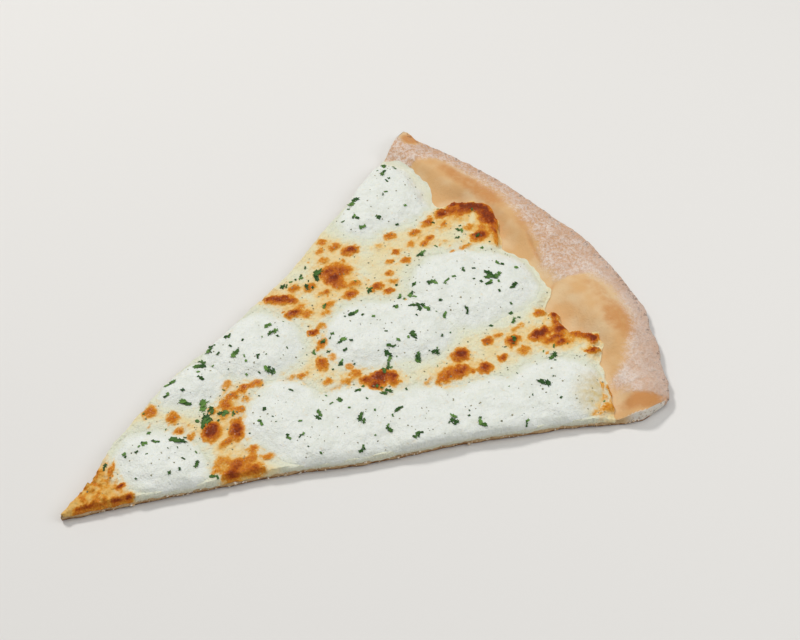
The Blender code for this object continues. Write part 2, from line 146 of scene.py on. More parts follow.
# Browned spots of the mozzarella: x, y, half length, half width, tilt in degrees, and depth
# from 0, melted, over 0.5, orange, to 1, nearly burnt. Smaller ones are scattered round
# those of the middle part
TIP_SPOTS = [
    (8, -3.2, 4, 1.6, -23, 0.85), (13, -5, 4, 2.4, -23, 0.9), (17, -6.5, 3.6, 3, -23, 0.84),
    (22, -9, 4, 1.8, -23, 0.86), (28, -10.6, 3.6, 2.4, -23, 0.86), (34, -4, 2.2, 1.6, 0, 0.95),
    (35, 8, 6, 1.4, 50, 0.62), (26, 9, 6, 1.2, 24, 0.56), (17, 5, 5, 1, 24, 0.4),
    (34, -12, 3, 2.2, -23, 0.84), (22, -4, 3, 1.4, -10, 0.4), (27, 2, 1.6, 3, 20, 0.34),
]
MIDDLE_SPOTS = [
    # between the tip and the front dollop
    (91, -1, 6.5, 4.6, 50, 1.0), (103, -8, 7, 3.8, 62, 0.94), (94, -12, 5, 2.5, 10, 0.6),
    (103, -24, 3, 2.6, 0, 0.62), (90, -28, 6, 4.5, 0, 0.7), (85, -21, 4.5, 3, 0, 0.5),
    (96, -36, 6, 4, -23, 0.72), (85, -32, 5, 3.5, -23, 0.82), (99, -29, 4, 3, 0, 0.56),
    (107, -33, 4, 2.4, -20, 0.5), (80, -25, 3, 3, 0, 0.42),
    (71, 31, 5, 4, 25, 0.62), (79, 20, 4.4, 3.6, 60, 0.6), (77, 10, 3.4, 2.6, 0, 0.56),
    (81, 3, 3, 2.2, 40, 0.52), (99, 11, 4, 3, 0, 0.45), (107, 10, 5.5, 3.5, 75, 0.62),
    (111, 3, 4, 3, 0, 0.56), (102, 4, 3, 2.4, 0, 0.4), (114, 23, 4.5, 3.6, 30, 0.55),
    (114, 14, 4, 3, 0, 0.66), (122, 15, 3.6, 2.8, 0, 0.72), (128, 24, 2.4, 2, 0, 0.42),
    (129, 14, 4.2, 3.2, 0, 0.6), (118, 8, 3, 2.4, 0, 0.46),
    # between the middle dollops
    (149, 5, 10, 2, -14, 0.34), (153, 3, 3, 2, 0, 0.5), (162, -9, 3.6, 2.6, 0, 0.5),
    (167, 4, 5.5, 3.2, 70, 0.74), (176, 5, 3.6, 3, 0, 0.55), (171, -15, 3.6, 2.6, 0, 0.46),
    (163, -15, 5, 2, -10, 0.3), (179, -6, 3.4, 2.4, 30, 0.56), (178, -13, 3.6, 3, 0, 0.62),
    (180, -21, 4, 3, -30, 0.8), (183, -27, 5, 3.4, 0, 0.86), (188, -23, 5.5, 4.2, 0, 1.0),
    (193, -28, 5.5, 3, 60, 0.84), (175, 60, 8, 3.6, -28, 0.88), (170, 65, 4, 2.2, -30, 0.7),
    (180, 55, 4, 2.4, -30, 0.6), (182, 48, 3, 2.6, 0, 0.52), (175, 46, 5, 3.2, -10, 0.84),
    (182, 41, 4, 3, 0, 0.58), (176, 27, 3.4, 2.8, 0, 0.82), (183, 28, 3.4, 2.4, 0, 0.45),
    (176, 17, 4, 3, 30, 0.62), (187, 63, 3.6, 2.6, 0, 0.66), (195, 58, 4.2, 3, 0, 0.64),
    (191, 36, 3.4, 2.6, 0, 0.48), (196, 40, 4.6, 2.6, 0, 0.52), (200, 49, 4, 2.2, 0, 0.56),
    # the large group below the back rim dollop
    (214, 61, 9, 6, 12, 0.68), (210, 55, 5.4, 4.4, 0, 0.94), (209, 63, 4.4, 3.4, 0, 0.66),
    (220, 57, 4.5, 3.4, 0, 0.64), (217, 45, 5, 3, -10, 0.6), (210, 49, 4, 3, 0, 0.66),
    (214, 72, 3.6, 2.6, 0, 0.56), (217, 80, 3, 2.4, 0, 0.56), (222, 86, 3.6, 2.6, 0, 0.62),
    (226, 78, 4.4, 2.8, 10, 0.68), (232, 70, 5.4, 3.8, -10, 0.86), (211, 39, 4.6, 3, 0, 0.8),
    (227, 35, 4.6, 3, 0, 0.78), (231, 28, 3.6, 2.2, -20, 0.7), (240, 40, 3, 2.4, 0, 0.6),
    (238, 33, 3.4, 2.6, 0, 0.42), (246, 48, 3, 2.2, 0, 0.56), (254, 52, 3.2, 2.4, 0, 0.64),
    (255, 43, 3.4, 2.6, 0, 0.6), (259, 66, 4.2, 3.2, 0, 0.66), (265, 52, 3, 2.4, 0, 0.5),
    (273, 59, 4.6, 2.8, 0, 0.62), (273, 48, 4, 2.6, 0, 0.56), (278, 50, 3, 2.4, 0, 0.6),
    (248, 62, 4, 3, 0, 0.3), (284, 61, 4, 2.8, 0, 0.62), (282, 32, 3, 2, 0, 0.5),
    (291, 31, 5, 2, 0, 0.44), (290, 54, 4, 2.4, 0, 0.45), (283, 42, 3, 2, 0, 0.3),
    # the burnt arch under the rim's back bubble
    (296.7, 63, 4.6, 3.6, 10, 0.9), (306, 65, 3, 1.8, -10, 0.84), (310, 65, 3.6, 2, -8, 0.95),
    (312.6, 62, 2.4, 3, 0, 0.9), (303.5, 57, 4, 6, 0, 0.5), (309, 58.5, 5, 4, 0, 0.7),
    (302, 62, 6, 3, -10, 0.72),
    (314.5, 57.5, 6.5, 4.6, -20, 0.97), (320, 53, 5.6, 4.4, -60, 0.97),
    (320.5, 46.5, 5.6, 4.4, -85, 0.97), (316.7, 43.5, 4.4, 4.4, 0, 0.95), (318.6, 39.5, 5, 2.8, 70, 0.9),
    (315.4, 34, 5, 2.8, 65, 0.7), (312, 28, 4.6, 2, 60, 0.56), (309, 23, 3, 1.5, 62, 0.5),
    (311, 39, 4, 3, 0, 0.45), (303.5, 43.5, 4, 3, 0, 0.5), (304.2, 33.5, 6, 3.8, 5, 0.96),
    (293, 55, 3, 1.3, 20, 0.45), (294, 51, 2.6, 1.6, 0, 0.3), (287, 62, 3, 2.6, 0, 0.6),
    # the band along the front dollop
    (222, -45, 8, 5, -12, 0.74), (214, -46, 5, 3, 10, 0.5), (228, -47, 5, 4, 0, 0.62),
    (234, -37, 5.4, 4.2, 0, 0.96), (239, -53, 4.4, 3.6, 0, 0.86), (207, -42, 4.5, 1.6, 10, 0.36),
    (252, -53, 3.2, 2.6, 0, 0.76), (253, -38, 3.8, 3, 30, 0.76), (261, -38, 2.8, 2, 0, 0.5),
    (265, -46, 4.8, 3.6, 0, 0.84), (265, -56, 4.6, 3.2, 0, 0.52), (271, -40, 3, 2, 0, 0.36),
    (276, -40, 3, 2.4, 0, 0.42), (280, -51.3, 6, 4, 0, 0.98), (286, -51, 3, 3, 0, 0.7),
    (281, -58.5, 4, 2.4, -6, 0.66), (287.5, -59, 4.6, 2.6, -6, 0.8), (286, -63.4, 4.6, 2.2, -5, 0.84),
    (291, -66, 3, 2.6, 0, 0.4), (291.6, -38.4, 3.8, 3, 0, 0.68), (297, -45.2, 2.8, 3.2, 0, 0.98),
    (294, -49.6, 2, 2.6, 0, 0.84), (292.4, -55, 4, 3.6, 0, 0.95), (296, -56.6, 1.8, 1.6, 0, 0.8),
    (296.4, -63, 4.4, 3, -30, 0.56), (301, -67, 4.2, 3.2, -60, 0.74),
    (303, -72, 3.6, 3.2, -80, 0.98), (297.4, -78.9, 3.8, 2, -20, 0.9), (293.6, -77.4, 1.8, 1.4, 0, 0.7),
    # the front corner by the rim
    (287, -108, 6, 2.4, 70, 0.85), (291, -99, 4, 2, 70, 0.56), (282, -115, 4, 2.4, 60, 0.56),
]
CORNER_SPOTS = [
    (281, -117, 7, 3, -23, 0.4), (269, -115, 7, 2.4, -22, 0.3), (279, -108, 6, 4, 60, 0.3),
    (272, -114, 6, 2.6, -15, 0.3), (284, -100, 4, 3, 40, 0.34),
]
SMALL_SPOTS = 130
SPOT_SEED = 5

# The bare spot inside the burnt arch: x, y, half length, half width, tilt in degrees
BARE_SPOT = (310.4, 48.8, 4.6, 1.6, 50)

# Large parsley flakes: x, y, length, width, turn in degrees
PARSLEY = [
    (237, 5, 8, 5, 20), (240, 1, 5, 4, 80), (234, 9, 4, 3, 140), (285, 0, 8, 5, 100),
    (281, -4, 5, 2.5, 30), (289, -3, 6, 2, 10), (240, 18, 5, 2.6, 40), (254, 16, 7, 3.4, -60),
    (203, 24, 6, 3.6, 170), (185, 10, 6, 2, 10), (176, -2, 5, 3, 30), (219, -11, 7, 3.6, 80),
    (200, -14, 9, 3, 55), (205, -10, 5, 3.6, 120), (196, -19, 5, 3, 20), (213, -24, 7, 3.4, 60),
    (224, -27, 5, 3, 130), (192, -21, 5, 2.6, 70), (184, -34, 8, 3.4, -20), (160, -44, 8, 4, 70),
    (181, -50, 6, 3, 20), (169, -57, 5, 2.6, 50), (200, -74, 8, 4, 75), (178, -71, 5, 3, 30),
    (211, -85, 7, 3, 80), (257, -83, 8, 2.4, -60), (276, -68, 7, 3, 8), (275, -34, 6, 2.6, 40),
    (266, -46, 4, 3, 30), (265, 42, 6, 3, 20), (296, 6, 4, 2.4, 80), (303, 33, 3.4, 2.4, 20),
    (297, 44, 5, 3, 90), (292, 40, 3, 2.4, 10), (258, 103, 8, 5, -10), (288, 113, 7, 3, 50),
    (293, 119, 5, 2.4, 70), (262, 82, 4, 3, 80), (249, 81, 5, 2, 10), (250, 91, 4, 2, 40),
    (283, 122, 4, 2, 80), (193, 40, 4, 2.4, 20), (222, 35, 5, 2.4, 30), (168, 14, 4, 3, 60),
    (177, 18, 5, 2, 10), (140, 17, 7, 4, 100), (143, -28, 9, 3, 60), (159, -25, 5, 3, 70),
    (171, -25, 4, 2.4, 20), (115, -13, 5, 2.6, 100), (92, 8, 9, 5, 30), (99, 12, 6, 3, 60),
    (103, 6, 6, 3.4, 0), (107, 3, 4, 3, 60), (73, 4, 9, 2.8, -14), (63, 10, 4.5, 2.6, -60),
    (57, 12, 4, 2.6, 70), (73, -16, 5, 4, 20), (110, 43, 7, 3, 150), (90, 41, 6, 4, 30),
    (130, 37, 6, 3, 10), (121, 50, 6, 3, 40), (134, 51, 5, 3, 10), (156, 38, 7, 3.4, -10),
    (156, 45, 5, 3.4, 20), (97, 17, 9, 1.8, 60), (90, 25, 7, 1.6, 110), (139, 28, 4, 3, 30),
    (33, 12, 4, 2.4, 20), (105, 33, 4, 2, 80), (84, 35, 4, 2, 20), (77, -28, 6, 2, 110),
    (233, 21, 4, 2.4, 40), (246, 23, 4, 2, 10), (226, 14, 4, 3, 60), (262, 12, 5, 2, 0),
    (275, 14, 4, 2, 60), (245, -8, 5, 2, 20), (257, -14, 6, 2, 70), (291, -15, 6, 3, 10),
    (150, -60, 4, 2, 50), (128, -34, 4, 2.6, 30), (122, -30, 4, 2, 70), (232, -98, 4, 2, 40),
    (183, 68, 5, 2.6, -10), (195, 68, 4, 3, 20), (204, 64, 10, 1.4, 58), (193, 59, 6, 1.2, 70),
]
PARSLEY_SMALL = 170
PARSLEY_SEED = 8
SPECKS = 560
SPECK_SIZES = (0.4, 1.1)
SPECK_SEED = 4
CRUMBS = 340
CRUMB_SIZES = (0.5, 1.6)
CRUMB_SEED = 9

# Grids over the slice: their steps, their ends along it and across it, and the step that
# slopes are measured over
FINE = 0.75
CRUST_FINE = 0.9
CRUST_COARSE = 2.0
GRID_START = -2
RIM_GRID_START = 262
RIM_GRID_END = 362
CHEESE_GRID_END = 335
GRID_SIDES = (-145, 155)
FIELD_STEP = 0.05

# Rings of faces down the walls, and the height that drooping cheese hangs down to at a cut
CRUST_RINGS = 6
CHEESE_RINGS = 5
MOZZARELLA_HANGS_TO = 3.1
RICOTTA_HANGS_TO = 3.4

# Heights of a leaf's upper and lower side above the cheese
LEAF_TOP = 0.3
LEAF_BOTTOM = -0.15

# Colours, as they look in even light: red, green, blue
MILKY = (0.750, 0.740, 0.545)
CREAMY = (0.800, 0.640, 0.320)
PEACHY = (0.820, 0.590, 0.270)
GOLDEN = (0.760, 0.470, 0.140)
AMBER = (0.720, 0.350, 0.045)
ORANGE = (0.620, 0.205, 0.014)
BROWN = (0.480, 0.118, 0.008)
DARK_BROWN = (0.290, 0.045, 0.004)
BURNT = (0.190, 0.030, 0.006)
RICOTTA_WHITE = (0.790, 0.815, 0.765)
RICOTTA_SHADE = (0.660, 0.690, 0.600)
RICOTTA_EDGE = (0.705, 0.725, 0.600)
RICOTTA_BAKED = (0.640, 0.520, 0.260)
RICOTTA_FOOT_TINT_AND_SHADE = (0.640, 0.610, 0.420)
CRUST_TAN = (0.670, 0.400, 0.175)
CRUST_PALE = (0.720, 0.510, 0.285)
CRUST_TOAST_AND_FOLD_SHADE = (0.580, 0.265, 0.085)
CRUST_FLOUR = (0.830, 0.700, 0.615)
FLOUR_GRAINS_AND_SHADE = (0.670, 0.410, 0.250)
FLOUR_EDGE = (0.520, 0.350, 0.270)
CRUMB_PALE = (0.860, 0.810, 0.720)
CRUMB_BAKED = (0.680, 0.470, 0.250)
UNDERSIDE_AND_PORE_SHADE = (0.400, 0.200, 0.080)
UNDERSIDE_DARK = (0.110, 0.045, 0.020)
PARSLEY_DARK = (0.028, 0.080, 0.018)
PARSLEY_LIGHT = (0.130, 0.260, 0.055)
SPECK_DARK = (0.120, 0.125, 0.070)
SPECK_LIGHT = (0.400, 0.370, 0.240)
FLOOR = (0.760, 0.750, 0.730)

# Browning, from its start to nearly burnt
BROWNING = [(0.0, GOLDEN), (0.18, AMBER), (0.4, ORANGE), (0.64, BROWN), (0.84, DARK_BROWN),
            (1.0, BURNT)]

# The table behind the smooth noise
NOISE_DRAW = np.random.RandomState(3)
NOISE_ORDER = NOISE_DRAW.permutation(256)
NOISE_SLOPES = NOISE_DRAW.uniform(0, math.tau, 256)

# The camera: where it stands and looks, in the plan, and its focal length
CAMERA_AT = (-107.0, -441.9, 602.6)
CAMERA_LOOKS_AT = (226.2, 10.5, 0)
FOCAL_LENGTH = 63.03
SENSOR_WIDTH = 36

# The floor and the lamps that face the middle of the slice, in metres: name, place, size,
# watts, colour
FLOOR_SIZE = 12
FLOOR_HEIGHT = -0.0003
LAMPS = [
    ("key", (-0.2, 1.6, 1.8), (0.5, 0.38), 32, (1.0, 0.98, 0.95)),
    ("fill", (0.7, -0.8, 0.9), (0.9, 0.7), 4.8, (1.0, 1.0, 0.99)),
    ("top", (0.4, 0.0, 1.5), (0.9, 0.9), 4.7, (1.0, 1.0, 1.0)),
]
SKY_STRENGTH = 0.3


def ease(share):
    """A smooth step from 0 to 1."""
    share = np.clip(share, 0, 1)
    return share * share * (3 - 2 * share)


def read_table(table, at):
    """The table's second value at points between its first values, with eased steps."""
    keys = np.array([row[0] for row in table], float)
    values = np.array([row[1] for row in table], float)
    row = np.clip(np.searchsorted(keys, at) - 1, 0, len(keys) - 2)
    share = (at - keys[row]) / (keys[row + 1] - keys[row])
    return values[row] + (values[row + 1] - values[row]) * ease(share)


def cad_noise(x, y, size):
    """The same smooth noise as in the CAD, for the forms that have to agree with it."""
    places = zip(np.ravel(x) / size, np.ravel(y) / size)
    found = [noise.noise((at_x, at_y, 0)) for at_x, at_y in places]
    return np.array(found).reshape(np.shape(x))


def mottle(x, y, size, layer=0):
    """Smooth noise between about -1 and 1, with lumps of this size, other ones on each layer."""
    at_x = x / size + 31.7 * layer
    at_y = y / size - 17.3 * layer
    column = np.floor(at_x).astype(int)
    row = np.floor(at_y).astype(int)
    dx = at_x - column
    dy = at_y - row

    def corner(right, up):
        turn = NOISE_SLOPES[(column + right + NOISE_ORDER[(row + up) & 255]) & 255]
        return np.cos(turn) * (dx - right) + np.sin(turn) * (dy - up)

    near = corner(0, 0) + (corner(1, 0) - corner(0, 0)) * ease(dx)
    far = corner(0, 1) + (corner(1, 1) - corner(0, 1)) * ease(dx)
    return 1.4 * (near + (far - near) * ease(dy))


def smooth_least(a, b, blend):
    """The smaller of two distances, rounded where they cross."""
    near = np.maximum(blend - np.abs(a - b), 0) / blend
    return np.minimum(a, b) - near * near * blend / 4


def polar(x, y):
    """Distance from the tip, and the angle from the slice's middle line in degrees."""
    return np.hypot(x, y), np.degrees(np.arctan2(y, np.maximum(x, 0.1)))


def seen_from(x, y, middle_x, middle_y, turn):
    """How far points lie from a middle, along a direction in radians and across it."""
    dx, dy = x - middle_x, y - middle_y
    along = dx * math.cos(turn) + dy * math.sin(turn)
    return along, dy * math.cos(turn) - dx * math.sin(turn)


def place_from(x, y, turn, along, across=0.0):
    """The place that lies so far along a direction in radians, and across it."""
    return (x + along * math.cos(turn) - across * math.sin(turn),
            y + along * math.sin(turn) + across * math.cos(turn))


def distance_past(outline, x, y):
    """How far points lie past an outline, away from the tip, negative before it."""
    reach, angle = polar(x, y)
    return reach - read_table(outline, angle)


def rim_distance(x, y):
    return distance_past(RIM_EDGE, x, y)


def cheese_edge_distance(x, y):
    return distance_past(CHEESE_EDGE, x, y)


def cut_distance(x, y):
    """How far points lie outside the nearer one of the two cuts, negative inside."""
    along = np.hypot(x, y)
    inwards = -x * math.sin(HALF_ANGLE)
    front = inwards - y * math.cos(HALF_ANGLE) - read_table(FRONT_BULGE, along)
    back = inwards + y * math.cos(HALF_ANGLE) - read_table(BACK_BULGE, along)
    return np.maximum(front, back)


def slice_field(x, y):
    ragged = 0.5 + mottle(x, y, 7, 8) * 0.55 + mottle(x, y, 2.4, 9) * 0.4
    return np.maximum(cut_distance(x, y), rim_distance(x, y) + ragged)


def mozzarella_field(x, y):
    ragged = mottle(x, y, 5, 3) * 1.2
    return np.maximum(cut_distance(x, y) + 0.3, cheese_edge_distance(x, y) + ragged)


def spread_distance(discs, x, y, wave):
    """How far points lie outside a spoonful that is spread from these discs."""
    found = np.inf
    for disc_x, disc_y, radius in discs:
        found = smooth_least(found, np.hypot(x - disc_x, y - disc_y) - radius, DOLLOP_BLEND)
    return found + wave


def dollop_wave(x, y):
    return cad_noise(x, y, 14) * DOLLOP_WAVE + mottle(x, y, 5.5, 7) * 1.1


def dollop_field(name, x, y):
    """The outline of one dollop, trimmed to the cuts and to its neighbours."""
    wave = dollop_wave(x, y)
    own = spread_distance(DOLLOPS[name], x, y, wave)
    field = np.maximum(own, cut_distance(x, y) + 0.2)
    for other, discs in DOLLOPS.items():
        if other != name:
            rival = spread_distance(discs, x, y, wave)
            field = np.maximum(field, (own - rival + 0.04) / 2)
    return field


def nearest_dollop(x, y):
    wave = dollop_wave(x, y)
    return np.min([spread_distance(discs, x, y, wave) for discs in DOLLOPS.values()], axis=0)


def rim_share(x, y):
    """0 where the rim starts to rise and 1 at the pie's edge."""
    past_foot = np.maximum(distance_past(RIM_FOOT, x, y), 0)
    to_edge = -rim_distance(x, y)
    return past_foot / np.maximum(past_foot + to_edge, 1)


def seen_on_rim(x, y, middle_x, middle_y):
    """How far points lie from a place on the rim, outwards and along the rim."""
    return seen_from(x, y, middle_x, middle_y, math.atan2(middle_y, middle_x))


def rim_bubbles(x, y):
    """The height that the bubbles add to the rim."""
    height = np.zeros_like(x)
    for middle_x, middle_y, half_length, half_width, rise in RIM_BUBBLES:
        outwards, along = seen_on_rim(x, y, middle_x, middle_y)
        height += rise * np.maximum(1 - (outwards / half_width)**2 - (along / half_length)**2, 0)
    return height


def flour_share(x, y):
    """1 where flour covers the rim and 0 where the baked skin shows, with an uneven border."""
    _, angle = polar(x, y)
    inwards = -rim_distance(x, y)
    uneven = mottle(x, y, 17, 50) * 2.4 + mottle(x, y, 5, 52) * 0.7
    knob_x, knob_y, knob_reach = KNOB
    past_knob = np.hypot(x - knob_x, y - knob_y) - knob_reach + uneven
    share = ease((read_table(FLOUR_WIDTH, angle) - inwards + uneven) / 17 + 0.5)
    return share * (0.15 + 0.85 * ease(past_knob / 6 + 0.5))


def toasted_share(x, y):
    """How strongly the rim is toasted, in patches with uneven borders."""
    found = np.zeros_like(x)
    uneven = mottle(x, y, 9, 53) * 0.14
    for middle_x, middle_y, half_length, half_width, strength in TOASTED:
        outwards, along = seen_on_rim(x, y, middle_x, middle_y)
        away = np.hypot(outwards / half_width, along / half_length) + uneven
        found = np.maximum(found, strength * (1 - ease((away - 0.35) / 0.75)))
    return found


def crease_share(x, y):
    """1 along the folds between the rim's bubbles, falling to 0 beside them."""
    found = np.zeros_like(x)
    uneven = mottle(x, y, 7, 54) * 0.5
    for (start_x, start_y), (end_x, end_y) in CREASES:
        run_x, run_y = end_x - start_x, end_y - start_y
        share = ((x - start_x) * run_x + (y - start_y) * run_y) / (run_x**2 + run_y**2)
        share = np.clip(share, 0, 1)
        away = np.hypot(x - start_x - share * run_x, y - start_y - share * run_y) + uneven
        found = np.maximum(found, (1 - ease(away / 2.0)) * np.sin(math.pi * (0.08 + 0.84 * share)))
    return found


def flour_ridges(x, y):
    """Low ridges and crumbs in the floury skin, that run roughly across the rim."""
    reach, angle = polar(x, y)
    along = np.radians(angle) * 340
    warp = mottle(x, y, 9, 55) * 3
    ridges = mottle(along + warp, reach * 0.55, 3.6, 56) * 0.75
    return ridges + mottle(x, y, 2.0, 57) * 0.4 + mottle(x, y, 1.2, 58) * 0.2


def crust_top(x, y):
    across = rim_share(x, y)
    climb = ease(across / 0.4)
    fall = ease((across - 0.55) / 0.45)
    height = BASE_THICK + (RIM_CREST - BASE_THICK) * climb + (RIM_OUTER - RIM_CREST) * fall
    bubbles = rim_bubbles(x, y)
    floury = flour_share(x, y)
    coarse = cad_noise(x, y, 9) * (0.1 + 0.3 * floury)
    wrinkles = flour_ridges(x, y) * (0.05 + 0.45 * floury) + mottle(x, y, 3.5, 2) * 0.04
    wrinkles += mottle(x, y, 14, 6) * 0.1 - crease_share(x, y) * 0.9
    return height + (bubbles + coarse + wrinkles) * climb


def crust_bottom(x, y):
    from_edge = -rim_distance(x, y)
    return RIM_UNDERCUT * (1 - ease(from_edge / RIM_UNDERCUT_WIDTH))


def browned_spots():
    """The listed spots, and small ones scattered round them by a seeded draw."""
    draw = random.Random(SPOT_SEED)
    spots = TIP_SPOTS + MIDDLE_SPOTS + CORNER_SPOTS
    for _ in range(SMALL_SPOTS):
        x, y, _, _, _, depth = draw.choice(MIDDLE_SPOTS)
        away = draw.uniform(4, 15)
        turn = draw.uniform(0, math.tau)
        size = draw.uniform(0.6, 1.7)
        spots.append((*place_from(x, y, turn, away), size, size * draw.uniform(0.6, 1),
                      math.degrees(turn), depth * draw.uniform(0.3, 0.7)))
    return spots


def browning(x, y):
    """How browned the mozzarella is, how warm its colour is, and how far it is blistered."""
    shift_x = mottle(x, y, 3.2, 11) * 1.15 + mottle(x, y, 1.3, 12) * 0.55
    shift_y = mottle(x, y, 3.2, 13) * 1.15 + mottle(x, y, 1.3, 14) * 0.55
    brown = np.zeros_like(x)
    warm = np.zeros_like(x)
    blister = np.zeros_like(x)
    for spot_x, spot_y, half_length, half_width, tilt, depth in browned_spots():
        reach = 3.2 * half_length + 12
        near = (np.abs(x - spot_x) < reach) & (np.abs(y - spot_y) < reach)
        along, across = seen_from(x[near] + shift_x[near], y[near] + shift_y[near],
                                  spot_x, spot_y, math.radians(tilt))
        away = np.hypot(along / half_length, across / half_width)
        baked = np.clip(depth ** 1.5 * 1.05 * np.minimum(1.35 * (1 - away / 1.42), 1), 0, 1)
        brown[near] = 1 - (1 - brown[near]) * (1 - baked)
        glow = np.exp(-((np.hypot(along, across) / (1.05 * half_length + 2.6)) ** 2))
        strength = min(half_length / 4, 1) * (0.15 + 0.42 * depth)
        warm[near] = 1 - (1 - warm[near]) * (1 - strength * glow)
        dome = np.sqrt(np.maximum(1 - (away / 1.1) ** 2, 0)) * min(half_length / 3.5, 1.5)
        blister[near] = np.maximum(blister[near], dome * (0.35 + 0.65 * depth))
    spot_x, spot_y, half_length, half_width, tilt = BARE_SPOT
    along, across = seen_from(x + shift_x * 0.4, y + shift_y * 0.4, spot_x, spot_y,
                              math.radians(tilt))
    bare = ease(1.6 - np.hypot(along / half_length, across / half_width))
    return brown * (1 - bare), warm * (1 - 0.5 * bare), blister


def cheese_share(x, y):
    """How much of its full thickness the cheese has: it thins out towards the bare rim."""
    to_edge = np.maximum(-cheese_edge_distance(x, y), 0)
    return 0.12 + 0.88 * ease(to_edge / CHEESE_THINS_OVER)


def mozzarella_shape(x, y):
    """Height of the melted cheese, and the masks that colour it."""
    bare = nearest_dollop(x, y)
    shown = ease((bare + 3) / 6)
    brown, warm, blister = browning(x, y)
    to_edge = np.maximum(-mozzarella_field(x, y), 0)
    edge = cheese_share(x, y)
    edge += (ease((to_edge + 0.6) / 2.6) - edge) * ease(brown / 0.35)
    crisp = 1 - ease((x - CRISP_REACH) / CRISP_FADE)
    patches = np.clip(0.22 + 0.34 * mottle(x, y, 3.2, 26), 0, 0.44)
    brown = np.maximum(brown, crisp * patches * ease((x - 1) / 12))
    lumps = mottle(x, y, 6) * 0.35 + mottle(x, y, 2.6, 21) * 0.22
    lumps += mottle(x, y, 1.3, 22) * (0.06 + 0.1 * brown + 0.3 * crisp)
    lumps += mottle(x, y, 2.0, 24) * 0.3 * brown
    relief = 0.75 + lumps + blister * 0.75 + crisp * mottle(x, y, 3.4, 23) * 1.5
    under = crust_top(x, y) + CHEESE_LIFT
    height = np.maximum(MOZZARELLA_FLAT, under) + shown * relief
    height = under + (height - under) * edge * (0.55 + 0.45 * ease(x / 24))
    smeared = 1 - ease((bare + mottle(x, y, 8, 33) * 3 + mottle(x, y, 3, 34)) / 8)
    milky = ease(0.7 + mottle(x, y, 12, 31) * 0.5 + smeared * 0.5 - warm * 0.6)
    warm = np.minimum(warm + (0.6 + 0.4 * mottle(x, y, 4, 25)) * crisp, 1)
    return height, brown, warm, milky, smeared


def ricotta_shape(name, x, y):
    """Height of one dollop, and how far inside its outline each point lies."""
    wave = dollop_wave(x, y)
    inside = np.maximum(-spread_distance(DOLLOPS[name], x, y, wave), 0)
    share = np.minimum(inside / DOLLOP_ROUND, 1)
    dome = DOLLOP_HEIGHT * (0.7 * ease(share) + 0.3 * (1 - (1 - share) ** 2))
    from_cut = np.maximum(-cut_distance(x, y), 0)
    slump = CUT_SLUMP * (1 - np.minimum(from_cut / CUT_SHOULDER, 1)) ** 2
    lumps = mottle(x, y, 13, 40) * 0.5 + mottle(x, y, 6, 41) * 0.3
    lumps += mottle(x, y, 2.8, 42) * 0.17 + mottle(x, y, 1.5, 43) * 0.09
    pits = ease((mottle(x, y, 2.8, 44) - 0.42) / 0.25) * 0.3
    height = dome - slump + (lumps - pits) * ease(inside / 5)
    under = crust_top(x, y) + CHEESE_LIFT
    floor = under + np.maximum(MOZZARELLA_FLAT - under, 0) * cheese_share(x, y)
    return floor + (0.4 + height) * cheese_share(x, y), inside


def slopes(field, x, y):
    """The field at these points, and how steeply it rises along x and along y."""
    here = field(x, y)
    slope_x = (field(x + FIELD_STEP, y) - here) / FIELD_STEP
    slope_y = (field(x, y + FIELD_STEP) - here) / FIELD_STEP
    return here, slope_x, slope_y


def corners_of(grid):
    """Four views of a grid: the corners of each of its squares, anticlockwise."""
    return [grid[:-1, :-1], grid[1:, :-1], grid[1:, 1:], grid[:-1, 1:]]


def cut_sheet(field, line_x, line_y):
    """A flat grid in plan, kept where the field is negative, with its border on the outline."""
    x, y = np.meshgrid(line_x, line_y, indexing="ij")
    inside = field(x, y) < 0
    used = np.any(corners_of(inside), axis=0)
    kept = np.zeros(x.shape, bool)
    for corner in corners_of(kept):
        corner |= used
    index = np.full(x.shape, -1)
    index[kept] = np.arange(kept.sum())
    quads = np.stack([corner[used] for corner in corners_of(index)], axis=1)
    x, y, outer = x[kept], y[kept], ~inside[kept]
    for _ in range(5):
        here, slope_x, slope_y = slopes(field, x[outer], y[outer])
        steep = np.maximum(slope_x**2 + slope_y**2, 0.25)
        x[outer] -= here * slope_x / steep
        y[outer] -= here * slope_y / steep
    return x, y, quads


def border_of(quads):
    """The directed edges that only one quad uses, as two columns of vertex numbers."""
    edges = np.concatenate([quads[:, [side, (side + 1) % 4]] for side in range(4)])
    size = quads.max() + 1
    key = edges[:, 0] * size + edges[:, 1]
    back = edges[:, 1] * size + edges[:, 0]
    return edges[~np.isin(key, back)]


def outward(field, x, y):
    """Unit directions in plan that point out of the outline."""
    _, slope_x, slope_y = slopes(field, x, y)
    length = np.maximum(np.hypot(slope_x, slope_y), 1e-6)
    return slope_x / length, slope_y / length


